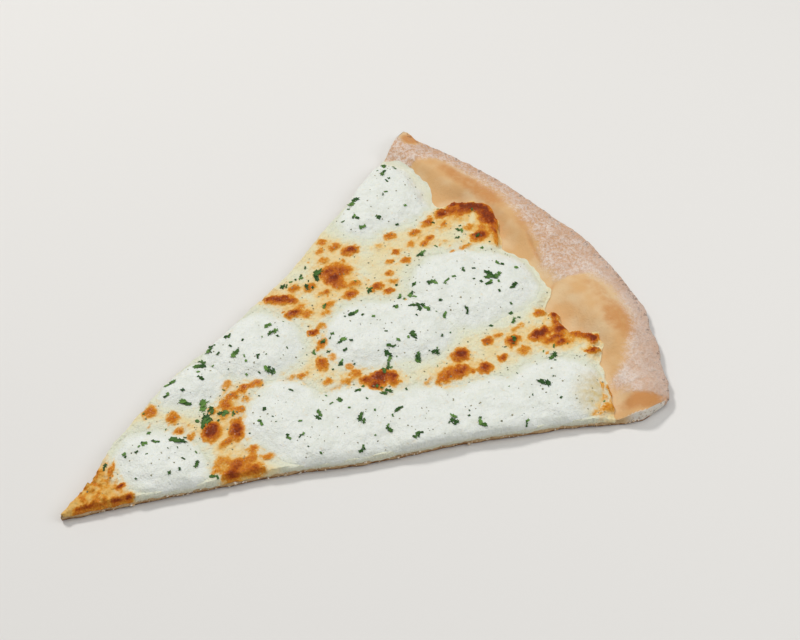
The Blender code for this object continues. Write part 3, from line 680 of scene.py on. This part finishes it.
def solid_from_sheet(name, sheet, top, field, bottom, rings, wall, masks):
    """Closes a sheet with walls and a bottom, and returns an object with its masks.

    bottom is a height, for one flat face, or a function of x and y, for a sheet of faces.
    wall(x, y, share, top, low) gives, at a share of the way down the wall, how far it stands
    out and at what height. masks are named lists of one value for each of the sheet's points;
    on walls they keep the value of the point above.
    """
    x, y, quads = sheet
    border = border_of(quads)
    start, end = border[:, 0], border[:, 1]
    rim = np.unique(border)
    out_x, out_y = outward(field, x[rim], y[rim])
    low = bottom(x, y) if callable(bottom) else np.full_like(x, bottom)
    place = np.full(len(x), -1)
    place[rim] = np.arange(len(rim))
    points = [np.stack([x, y, top], axis=1)]
    faces = [quads]
    source = [np.arange(len(x))] + [rim] * rings
    above = source[0]
    for ring in range(rings):
        stand, height = wall(x[rim], y[rim], (ring + 1) / rings, top[rim], low[rim])
        points.append(np.stack([x[rim] + out_x * stand, y[rim] + out_y * stand, height], axis=1))
        here = len(x) + ring * len(rim) + place
        faces.append(np.stack([above[end], above[start], here[start], here[end]], axis=1))
        above = here
    closing = []
    if callable(bottom):
        inner = np.setdiff1d(source[0], rim)
        above[inner] = len(x) + rings * len(rim) + np.arange(len(inner))
        points.append(np.stack([x[inner], y[inner], low[inner]], axis=1))
        faces.append(above[quads][:, ::-1])
        source.append(inner)
    else:
        closing.append(walk_round(border, above))
    mesh = bpy.data.meshes.new(name)
    mesh.from_pydata(np.concatenate(points).tolist(), [], np.concatenate(faces).tolist() + closing)
    mesh.update()
    source = np.concatenate(source)
    for mask, values in masks.items():
        layer = mesh.attributes.new(mask, "FLOAT", "POINT")
        layer.data.foreach_set("value", np.asarray(values, float)[source])
    return linked(name, mesh)


def linked(name, data):
    """A new object of the scene that shows this mesh, lamp or camera."""
    made = bpy.data.objects.new(name, data)
    bpy.context.scene.collection.objects.link(made)
    return made


def crust_wall(x, y, share, top, low):
    """A rounded wall along the rim, and torn crumb at the cuts."""
    height = top + (low - top) * share
    at_rim = (rim_distance(x, y) > -1) & (cut_distance(x, y) < -2)
    rounded = RIM_ROUND * np.sqrt(np.maximum(1 - (2 * share - 1) ** 2, 0))
    crumbly = mottle(x + height, y - height, 1.8) * 0.5 + 0.25
    crumbly += mottle(x - height, y - height, 6)
    torn = crumbly * ease(share / 0.45) * (1 - 0.5 * ease((share - 0.6) / 0.4))
    return np.where(at_rim, rounded, torn), height


def drooping_wall(hangs_to, layer):
    """A wall that hangs over the cut to an uneven height, and stands straight elsewhere."""

    def wall(x, y, share, top, low):
        at_cut = ease((cut_distance(x, y) + 1.6) / 0.9)
        foot = hangs_to + mottle(x + y, y - x, 9, layer) * 1.1 + mottle(x, y, 3, layer) * 0.6
        down = min(share / 0.8, 1)
        hanging = top + (foot - top) * down if share < 1 else low
        stand = 0.95 * math.sin(math.pi * (0.12 + 0.55 * down)) if share < 1 else -0.4
        uneven = mottle(x + top * down, y - top * down, 4, layer) * 0.5
        straight = top + (low - top) * share
        return at_cut * (stand + uneven * (share < 1)), straight + (hanging - straight) * at_cut

    return wall


def walk_round(border, ring):
    """The ring's vertex numbers in order, for one face that looks down."""
    following = {int(start): int(end) for start, end in border}
    first = int(border[0, 0])
    order = [first]
    here = following[first]
    while here != first:
        order.append(here)
        here = following[here]
    return [int(ring[vertex]) for vertex in reversed(order)]


def finish(piece, sharp_angle, material):
    piece.data.shade_smooth()
    piece.data.set_sharp_from_angle(angle=math.radians(sharp_angle))
    piece.data.materials.append(material)
    return piece


class Nodes:
    """Short calls for building one material. Sizes and heights are in millimetres."""

    def __init__(self, name, specular):
        self.material = bpy.data.materials.new(name)
        self.material.use_nodes = True
        self.tree = self.material.node_tree
        self.shader = self.tree.nodes["Principled BSDF"]
        self.fill(self.shader, {"Specular IOR Level": specular})

    def fill(self, node, inputs):
        """Gives inputs, by name or number, a number, a colour or another node's output."""
        for key, value in inputs.items():
            socket = node.inputs[key]
            if isinstance(value, bpy.types.NodeSocket):
                self.tree.links.new(value, socket)
            else:
                socket.default_value = (*value, 1) if socket.type == "RGBA" else value

    def add(self, kind, inputs, output, **settings):
        node = self.tree.nodes.new(kind)
        for key, value in settings.items():
            setattr(node, key, value)
        self.fill(node, inputs)
        return node.outputs[output]

    def mask(self, name):
        return self.add("ShaderNodeAttribute", {}, "Fac", attribute_name=name)

    def place(self):
        return self.add("ShaderNodeTexCoord", {}, "Object")

    def upward(self, vector):
        return self.add("ShaderNodeSeparateXYZ", {0: vector}, "Z")

    def height(self):
        return self.times(self.upward(self.place()), 1000)

    def noise(self, size, detail, roughness=0.5):
        inputs = {"Vector": self.place(), "Scale": 1000 / size, "Detail": detail,
                  "Roughness": roughness}
        return self.add("ShaderNodeTexNoise", inputs, "Fac")

    def spread(self, value, low, high, to_low=0.0, to_high=1.0):
        inputs = dict(enumerate((value, low, high, to_low, to_high)))
        return self.add("ShaderNodeMapRange", inputs, "Result", interpolation_type="SMOOTHSTEP")

    def work_out(self, operation, a, b):
        return self.add("ShaderNodeMath", {0: a, 1: b}, 0, operation=operation)

    def times(self, a, b):
        return self.work_out("MULTIPLY", a, b)

    def plus(self, total, *others):
        for other in others:
            total = self.work_out("ADD", total, other)
        return total

    def centred(self, noise_value):
        return self.work_out("SUBTRACT", noise_value, 0.5)

    def blend(self, share, a, b):
        return self.add("ShaderNodeMix", {0: share, 6: a, 7: b}, 2, data_type="RGBA")

    def fade(self, a, b, value, low, high, to_low=0.0, to_high=1.0):
        """Colour a where the value is low, turning into b where it is high."""
        return self.blend(self.spread(value, low, high, to_low, to_high), a, b)

    def patches(self, a, b, size, detail, low, high, most=1.0):
        """Patches of b on a, of about this size."""
        return self.fade(a, b, self.noise(size, detail), low, high, 0.0, most)

    def ramp(self, value, stops):
        colour = self.add("ShaderNodeValToRGB", {0: value}, "Color")
        elements = colour.node.color_ramp.elements
        while len(elements) < len(stops):
            elements.new(0.5)
        for element, (position, shade) in zip(elements, stops):
            element.position = position
            element.color = (*shade, 1)
        return colour

    def bump(self, height, distance, strength):
        inputs = {"Height": height, "Distance": distance / 1000, "Strength": strength}
        self.fill(self.shader, {"Normal": self.add("ShaderNodeBump", inputs, "Normal")})

    def soften(self, weight, radius, tint):
        """Light that goes into the food and comes out a little way off."""
        self.fill(self.shader, {"Subsurface Weight": weight, "Subsurface Scale": radius / 1000,
                                "Subsurface Radius": tint})

    def finished(self, colour, roughness):
        self.fill(self.shader, {"Base Color": colour, "Roughness": roughness})
        return self.material


def browned(made, cheese):
    """Browning over the cheese's own colour, and how deep it is."""
    brown = made.times(made.mask("brown"), made.spread(made.height(), 4.2, 5.8, 0.5, 1.0))
    grain = made.centred(made.noise(1.1, 3))
    patchy = made.centred(made.noise(3.5, 2))
    mottled = made.plus(made.times(grain, 0.6), made.times(patchy, 0.7))
    depth = made.plus(brown, made.times(mottled, made.spread(brown, 0.02, 0.4)))
    warmth = made.plus(made.mask("warm"), made.times(patchy, 1.1), made.times(grain, 0.4))
    cheese = made.fade(cheese, PEACHY, warmth, 0.12, 0.7)
    cheese = made.fade(cheese, GOLDEN, warmth, 0.36, 0.92)
    cheese = made.blend(made.times(made.mask("smeared"), 0.7), cheese, RICOTTA_EDGE)
    return made.fade(cheese, made.ramp(depth, BROWNING), depth, 0.03, 0.27), depth


def mozzarella_material():
    made = Nodes("melted_mozzarella", 0.13)
    colour, depth = browned(made, made.blend(made.mask("milky"), CREAMY, MILKY))
    made.bump(made.plus(made.noise(1.2, 2), made.times(made.noise(2.6, 2), 1.8)), 0.8, 0.9)
    made.soften(0.06, 0.9, (1.0, 0.6, 0.3))
    return made.finished(colour, made.spread(depth, 0.05, 0.4, 0.45, 0.16))


def ricotta_material():
    made = Nodes("fresh_ricotta", 0.4)
    white = made.patches(RICOTTA_WHITE, RICOTTA_SHADE, 9, 3, 0.42, 0.66, 0.35)
    white = made.fade(white, RICOTTA_SHADE, made.noise(1.8, 4, 0.6), 0.5, 0.72, 0.0, 0.5)
    inside = made.plus(made.mask("inside"), made.times(made.noise(5, 3), 7))
    colour = made.fade(RICOTTA_EDGE, white, inside, 3.0, 9.0)
    blotchy = made.spread(made.noise(3, 3), 0.3, 0.7, 0.45, 1.0)
    colour = made.blend(made.times(made.mask("stained"), blotchy), colour, RICOTTA_BAKED)
    # Darker and yellower low down: partly the cheese's own yellow-green tint, partly painted shade on
    # the hanging wall
    colour = made.fade(colour, RICOTTA_FOOT_TINT_AND_SHADE, made.height(), 3.4, 6.6, 0.75, 0.0)
    colour, _ = browned(made, colour)
    made.bump(made.plus(made.noise(0.9, 3), made.times(made.noise(3.4, 2), 1.6)), 0.55, 0.9)
    made.soften(0.2, 1.2, (1.0, 0.9, 0.75))
    return made.finished(colour, made.spread(made.noise(4, 2), 0.3, 0.7, 0.4, 0.6))


def crust_skin(made, fine, coarse):
    """The rim's baked skin: toasted patches, flour and char, with painted shade along folds, valleys and
    edge.
    """
    tan = made.patches(CRUST_TAN, CRUST_PALE, 20, 2, 0.38, 0.62)
    toast = made.plus(made.mask("toast"), made.times(made.centred(made.noise(6, 3)), 0.7),
                      made.times(made.centred(coarse), 0.6))
    skin = made.fade(tan, CRUST_TOAST_AND_FOLD_SHADE, toast, 0.05, 1.1)
    grains = made.plus(made.centred(fine), made.centred(coarse))
    # Orange grains of the flour's own, and painted shade in the valleys between its ridges
    ridge = made.plus(made.times(made.mask("ridge"), 0.6), made.times(grains, 2.4))
    grains_and_valley_shade = made.times(made.spread(ridge, -0.1, 0.7, 1.0, 0.0), made.mask("grainy"))
    flour = made.blend(grains_and_valley_shade, CRUST_FLOUR, FLOUR_GRAINS_AND_SHADE)
    flour = made.patches(flour, CRUST_TOAST_AND_FOLD_SHADE, 13, 3, 0.4, 0.66, 0.3)
    # Darker towards the outer edge: partly the edge's own cracked flour, partly painted shade
    flour = made.blend(made.mask("outer"), flour, FLOUR_EDGE)
    dusting = made.plus(made.mask("flour"), made.times(grains, 0.6))
    skin = made.fade(skin, flour, dusting, 0.05, 0.95)
    # Painted shade: the toasted colour laid along the folds between the rim's bubbles
    skin = made.blend(made.times(made.mask("fold_shade"), 0.6), skin, CRUST_TOAST_AND_FOLD_SHADE)
    char = made.times(made.spread(made.noise(2.2, 4, 0.65), 0.53, 0.64), made.mask("char"))
    return made.blend(char, skin, UNDERSIDE_DARK)


def crust_crumb(made):
    """The crumb at the cuts, with painted shade for the holes in it and a baked line along its foot."""
    crumb = made.blend(made.mask("thick"), CRUMB_BAKED, CRUMB_PALE)
    # Painted shade for the crumb's holes
    crumb = made.patches(crumb, UNDERSIDE_AND_PORE_SHADE, 1.7, 4, 0.54, 0.68, 0.55)
    ragged = made.plus(made.height(), made.times(made.centred(made.noise(2.6, 3)), 3))
    crumb = made.fade(UNDERSIDE_AND_PORE_SHADE, crumb, ragged, 0.5, 1.5)
    return made.fade(UNDERSIDE_DARK, crumb, ragged, -0.3, 0.4)


def crust_underside(made):
    spotted = made.patches(UNDERSIDE_AND_PORE_SHADE, UNDERSIDE_DARK, 7, 4, 0.46, 0.62)
    return made.patches(spotted, CRUST_FLOUR, 2.5, 4, 0.5, 0.66, 0.8)


def crust_material():
    made = Nodes("baked_crust", 0.25)
    fine = made.noise(0.9, 4, 0.65)
    coarse = made.noise(2.2, 3, 0.6)
    colour = made.blend(made.mask("crumb"), crust_skin(made, fine, coarse), crust_crumb(made))
    facing = made.upward(made.add("ShaderNodeNewGeometry", {}, "Normal"))
    colour = made.fade(crust_underside(made), colour, facing, -0.75, -0.45)
    rough = made.work_out("MAXIMUM", made.mask("flour"), made.mask("crumb"))
    bumps = made.plus(fine, made.times(coarse, 1.4))
    made.bump(made.times(bumps, made.spread(rough, 0.0, 1.0, 0.3, 1.0)), 0.9, 1.0)
    made.soften(0.06, 1.0, (1.0, 0.6, 0.35))
    return made.finished(colour, made.spread(fine, 0.3, 0.7, 0.65, 0.85))


def leaf_material():
    made = Nodes("chopped_parsley", 0.12)
    tone = made.plus(made.mask("tone"), made.times(made.centred(made.noise(1.0, 2)), 0.5))
    made.bump(made.noise(0.6, 2), 0.15, 0.6)
    return made.finished(made.fade(PARSLEY_DARK, PARSLEY_LIGHT, tone, 0.0, 1.0), 0.5)


def grain_material(name, dark, light, size, roughness):
    made = Nodes(name, 0.12)
    made.bump(made.noise(0.5, 2), 0.1, 0.5)
    return made.finished(made.patches(dark, light, size, 2, 0.35, 0.65), roughness)


def make_crust():
    under_cheese = np.arange(GRID_START, RIM_GRID_START, CRUST_COARSE)
    bare_rim = np.arange(RIM_GRID_START, RIM_GRID_END, CRUST_FINE)
    sheet = cut_sheet(slice_field, np.concatenate([under_cheese, bare_rim]),
                      np.arange(*GRID_SIDES, CRUST_FINE))
    x, y, _ = sheet
    from_edge = -rim_distance(x, y)
    at_back = ease((polar(x, y)[1] + 12) / 14)
    masks = {
        "flour": flour_share(x, y),
        "toast": toasted_share(x, y) + mottle(x, y, 16, 51) * 0.12,
        "fold_shade": crease_share(x, y),
        "char": (1 - ease(from_edge / 6)) * 0.6,
        "crumb": (cut_distance(x, y) > -0.4) & (from_edge > 1.5),
        "thick": ease((rim_share(x, y) - 0.1) / 0.25),
        "ridge": 0.5 + 0.5 * flour_ridges(x, y),
        # Darker flour at the outer edge, partly painted shade
        "outer": (1 - ease((from_edge - 1) / 15)) * (0.45 - 0.25 * at_back),
        "grainy": 0.5 + 0.5 * at_back,
    }
    crust = solid_from_sheet("crust_baked", sheet, crust_top(x, y), slice_field, crust_bottom,
                             CRUST_RINGS, crust_wall, masks)
    return finish(crust, 55, crust_material())


def make_mozzarella():
    sheet = cut_sheet(mozzarella_field, np.arange(GRID_START, CHEESE_GRID_END, FINE),
                      np.arange(*GRID_SIDES, FINE))
    x, y, _ = sheet
    top, brown, warm, milky, smeared = mozzarella_shape(x, y)
    masks = {"brown": brown, "warm": warm, "milky": milky, "smeared": smeared}
    cheese = solid_from_sheet("mozzarella_melted", sheet, top, mozzarella_field,
                              BASE_THICK - 0.3, CHEESE_RINGS,
                              drooping_wall(MOZZARELLA_HANGS_TO, 61), masks)
    return finish(cheese, 60, mozzarella_material())


def make_ricotta(name, material):
    def field(x, y):
        return dollop_field(name, x, y)

    discs = np.array(DOLLOPS[name])
    reach = discs[:, 2].max() + 12
    low = discs[:, :2].min(axis=0) - reach
    high = discs[:, :2].max(axis=0) + reach
    sheet = cut_sheet(field, np.arange(low[0], high[0], FINE), np.arange(low[1], high[1], FINE))
    x, y, _ = sheet
    top, inside = ricotta_shape(name, x, y)
    stain_x, stain_y, stain_reach = STAIN
    stained = 1 - ease((np.hypot(x - stain_x, y - stain_y) - stain_reach / 2) / stain_reach)
    brown, warm, _ = browning(x, y)
    near_edge = 1 - ease(inside / 6)
    masks = {"inside": inside, "stained": stained, "brown": brown * near_edge,
             "warm": warm * near_edge, "smeared": np.zeros_like(x)}
    dollop = solid_from_sheet(name + "_soft", sheet, top, field, BASE_THICK - 0.5, CHEESE_RINGS,
                              drooping_wall(RICOTTA_HANGS_TO, 62), masks)
    return finish(dollop, 70, material)


def make_leaf(shape, tone_layer, x, y, length, width, turn, draw, height_at):
    """One scrap of chopped leaf: a thin slab with a torn outline, folded along its middle."""
    count = 14 if length > 4 else 8
    angle = math.radians(turn)
    centre = height_at(x, y)
    curl = draw.uniform(-0.03, 0.1)
    fold = draw.uniform(0.05, 0.5)
    bend = draw.uniform(-0.12, 0.12)
    tone = draw.random() ** 1.5
    outline = []
    for step in range(count):
        around = math.tau * (step + draw.uniform(-0.3, 0.3)) / count
        lobe = draw.uniform(0.8, 1.15) if step % 2 else draw.uniform(0.35, 0.9)
        outline.append((math.cos(around) * length / 2 * lobe,
                        math.sin(around) * width / 2 * lobe))
    rings = []
    for lift in (LEAF_TOP, LEAF_BOTTOM):
        ring = []
        for along, across in outline:
            sideways = across + bend * along * along / length * 2
            px, py = place_from(x, y, angle, along, sideways)
            rise = curl * along * along / length + fold * abs(across)
            ground = height_at(px, py) * 0.6 + centre * 0.4
            ring.append(shape.verts.new((px, py, ground + lift + rise)))
        rings.append(ring)
    top_middle = shape.verts.new((x, y, centre + LEAF_TOP))
    bottom_middle = shape.verts.new((x, y, centre + LEAF_BOTTOM))
    for step in range(count):
        after = (step + 1) % count
        shape.faces.new((top_middle, rings[0][step], rings[0][after]))
        shape.faces.new((bottom_middle, rings[1][after], rings[1][step]))
        shape.faces.new((rings[0][step], rings[1][step], rings[1][after], rings[0][after]))
    for vertex in rings[0] + rings[1] + [top_middle, bottom_middle]:
        vertex[tone_layer] = tone


def make_scrap(shape, tone_layer, x, y, length, width, turn, draw, height_at):
    """One larger scrap of parsley: a few torn leaflets beside and across each other."""
    count = 2 if width < 0.45 * length else 3
    for step in range(count):
        along = ((step + 0.5) / count - 0.5) * length * 0.8
        aside = draw.uniform(-0.3, 0.3) * width
        long = length * draw.uniform(0.6, 0.85)
        leaf_x, leaf_y = place_from(x, y, math.radians(turn), along, aside)
        make_leaf(shape, tone_layer, leaf_x, leaf_y, long, long * draw.uniform(0.4, 0.7),
                  turn + draw.uniform(-60, 60), draw, height_at)


def height_lookup():
    """A quick reader of the cheese's height, from a grid of 1 mm squares over the slice."""
    line_x = np.arange(0, 340, 1.0)
    line_y = np.arange(-140, 150, 1.0)
    x, y = np.meshgrid(line_x, line_y, indexing="ij")
    grid = mozzarella_shape(x, y)[0]
    for name in DOLLOPS:
        own = dollop_field(name, x, y)
        grid = np.where(own < 0, np.maximum(grid, ricotta_shape(name, x, y)[0]), grid)

    def height_at(px, py):
        column = min(max(px - line_x[0], 0), len(line_x) - 1.001)
        row = min(max(py - line_y[0], 0), len(line_y) - 1.001)
        i, j = int(column), int(row)
        s, t = column - i, row - j
        near = grid[i, j] * (1 - t) + grid[i, j + 1] * t
        far = grid[i + 1, j] * (1 - t) + grid[i + 1, j + 1] * t
        return float(near * (1 - s) + far * s)

    return height_at


def lies_on_cheese(x, y, margin):
    at_x, at_y = np.array([x], float), np.array([y], float)
    return mozzarella_field(at_x, at_y)[0] < -margin


def object_from(shape, name, material):
    bmesh.ops.recalc_face_normals(shape, faces=shape.faces[:])
    mesh = bpy.data.meshes.new(name)
    shape.to_mesh(mesh)
    shape.free()
    mesh.materials.append(material)
    return linked(name, mesh)


def make_parsley(height_at):
    draw = random.Random(PARSLEY_SEED)
    shape = bmesh.new()
    tone = shape.verts.layers.float.new("tone")
    for x, y, length, width, turn in PARSLEY:
        if lies_on_cheese(x, y, 1):
            make_scrap(shape, tone, x, y, length, width, turn, draw, height_at)
    left = PARSLEY_SMALL
    while left:
        beside = draw.random() < 0.5
        near = draw.choice(PARSLEY)
        x = near[0] + draw.gauss(0, 5) if beside else draw.uniform(20, 320)
        y = near[1] + draw.gauss(0, 5) if beside else draw.uniform(-120, 130)
        if not lies_on_cheese(x, y, 2):
            continue
        length = draw.uniform(1.2, 3.6)
        make_leaf(shape, tone, x, y, length, length * draw.uniform(0.35, 0.8),
                  draw.uniform(0, 360), draw, height_at)
        left -= 1
    return object_from(shape, "parsley_flakes", leaf_material())


def make_grains(name, count, seed, places, sizes, material):
    """Small eight-sided grains at places that a draw gives, as one piece."""
    draw = random.Random(seed)
    shape = bmesh.new()
    for _ in range(count):
        x, y, z = places(draw)
        size = draw.uniform(*sizes)
        made = bmesh.ops.create_icosphere(shape, subdivisions=1, radius=size / 2)
        stretch = Vector((draw.uniform(0.6, 1.4), draw.uniform(0.6, 1.4), draw.uniform(0.4, 0.8)))
        for vertex in made["verts"]:
            vertex.co = vertex.co * stretch + Vector((x, y, z))
    return object_from(shape, name, material)


def speck_place(height_at):
    def place(draw):
        while True:
            x, y = draw.uniform(10, 325), draw.uniform(-130, 135)
            if lies_on_cheese(x, y, 1.5):
                return x, y, height_at(x, y) + 0.05

    return place


def crumb_place(draw):
    """On the front cut or the back cut, on the dough."""
    along = draw.uniform(15, 325)
    side = draw.choice((-1, 1))
    bulge = FRONT_BULGE if side < 0 else BACK_BULGE
    out = float(read_table(bulge, np.array([along]))[0]) + draw.uniform(-0.2, 0.9)
    angle = side * HALF_ANGLE
    x = along * math.cos(angle) - out * math.sin(HALF_ANGLE)
    y = along * math.sin(angle) + side * out * math.cos(HALF_ANGLE)
    return x, y, draw.uniform(0.7, 3.2)


def coordinates(piece):
    values = np.empty(len(piece.data.vertices) * 3)
    piece.data.vertices.foreach_get("co", values)
    return values.reshape(-1, 3)


def move_into_frame(crust, pieces):
    """Moves all pieces together, so that the crust's box lies in the middle of the CAD's."""
    points = coordinates(crust)
    own = (points.min(axis=0) + points.max(axis=0)) / 2
    shift = np.mean(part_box("crust"), axis=0) * 1000 - own
    shift[2] = 0
    for piece in pieces:
        values = np.clip((coordinates(piece) + shift) / 1000, BOX_LOW, BOX_HIGH)
        piece.data.vertices.foreach_set("co", values.ravel())
        piece.data.update()
    return Vector(shift)


def make_floor():
    bpy.ops.mesh.primitive_plane_add(size=FLOOR_SIZE, location=(0, 0, FLOOR_HEIGHT))
    floor = bpy.context.object
    floor.name = "floor"
    floor.data.materials.append(Nodes("plain_floor", 0.2).finished(FLOOR, 0.85))


def turn_to(made, target):
    made.rotation_euler = (target - made.location).to_track_quat("-Z", "Y").to_euler()


def add_lights():
    for name, place, size, watts, colour in LAMPS:
        lamp = bpy.data.lights.new(name, "AREA")
        lamp.shape = "RECTANGLE"
        lamp.size, lamp.size_y = size
        lamp.energy = watts
        lamp.color = colour
        made = linked(name, lamp)
        made.location = place
        turn_to(made, Vector((0, 0, 0)))
    world = bpy.data.worlds.new("studio")
    world.use_nodes = True
    background = world.node_tree.nodes["Background"]
    background.inputs["Color"].default_value = (1.0, 1.0, 1.0, 1)
    background.inputs["Strength"].default_value = SKY_STRENGTH
    bpy.context.scene.world = world


def add_camera(shift):
    camera = bpy.data.cameras.new("camera")
    camera.lens = FOCAL_LENGTH
    camera.sensor_width = SENSOR_WIDTH
    camera.sensor_fit = "HORIZONTAL"
    camera.clip_start = 0.01
    made = linked("camera", camera)
    made.location = (Vector(CAMERA_AT) + shift) / 1000
    turn_to(made, (Vector(CAMERA_LOOKS_AT) + shift) / 1000)
    bpy.context.scene.camera = made


def main():
    bpy.context.scene.view_settings.view_transform = "Standard"
    crust = make_crust()
    mozzarella = make_mozzarella()
    ricotta = ricotta_material()
    dollops = {name: make_ricotta(name, ricotta) for name in DOLLOPS}
    height_at = height_lookup()
    parsley = make_parsley(height_at)
    specks = make_grains("pepper_specks", SPECKS, SPECK_SEED, speck_place(height_at), SPECK_SIZES,
                         grain_material("dried_herbs", SPECK_DARK, SPECK_LIGHT, 0.8, 0.7))
    crumbs = make_grains("crust_crumbs", CRUMBS, CRUMB_SEED, crumb_place, CRUMB_SIZES,
                         grain_material("loose_crumb", CRUMB_BAKED, CRUMB_PALE, 1.5, 0.85))
    pieces = [crust, mozzarella, *dollops.values(), parsley, specks, crumbs]
    shift = move_into_frame(crust, pieces)
    for piece in pieces:
        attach(piece, "root")
    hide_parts("crust")
    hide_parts("mozzarella")
    for name, dollop in dollops.items():
        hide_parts(name)
    make_floor()
    add_lights()
    add_camera(shift)


main()
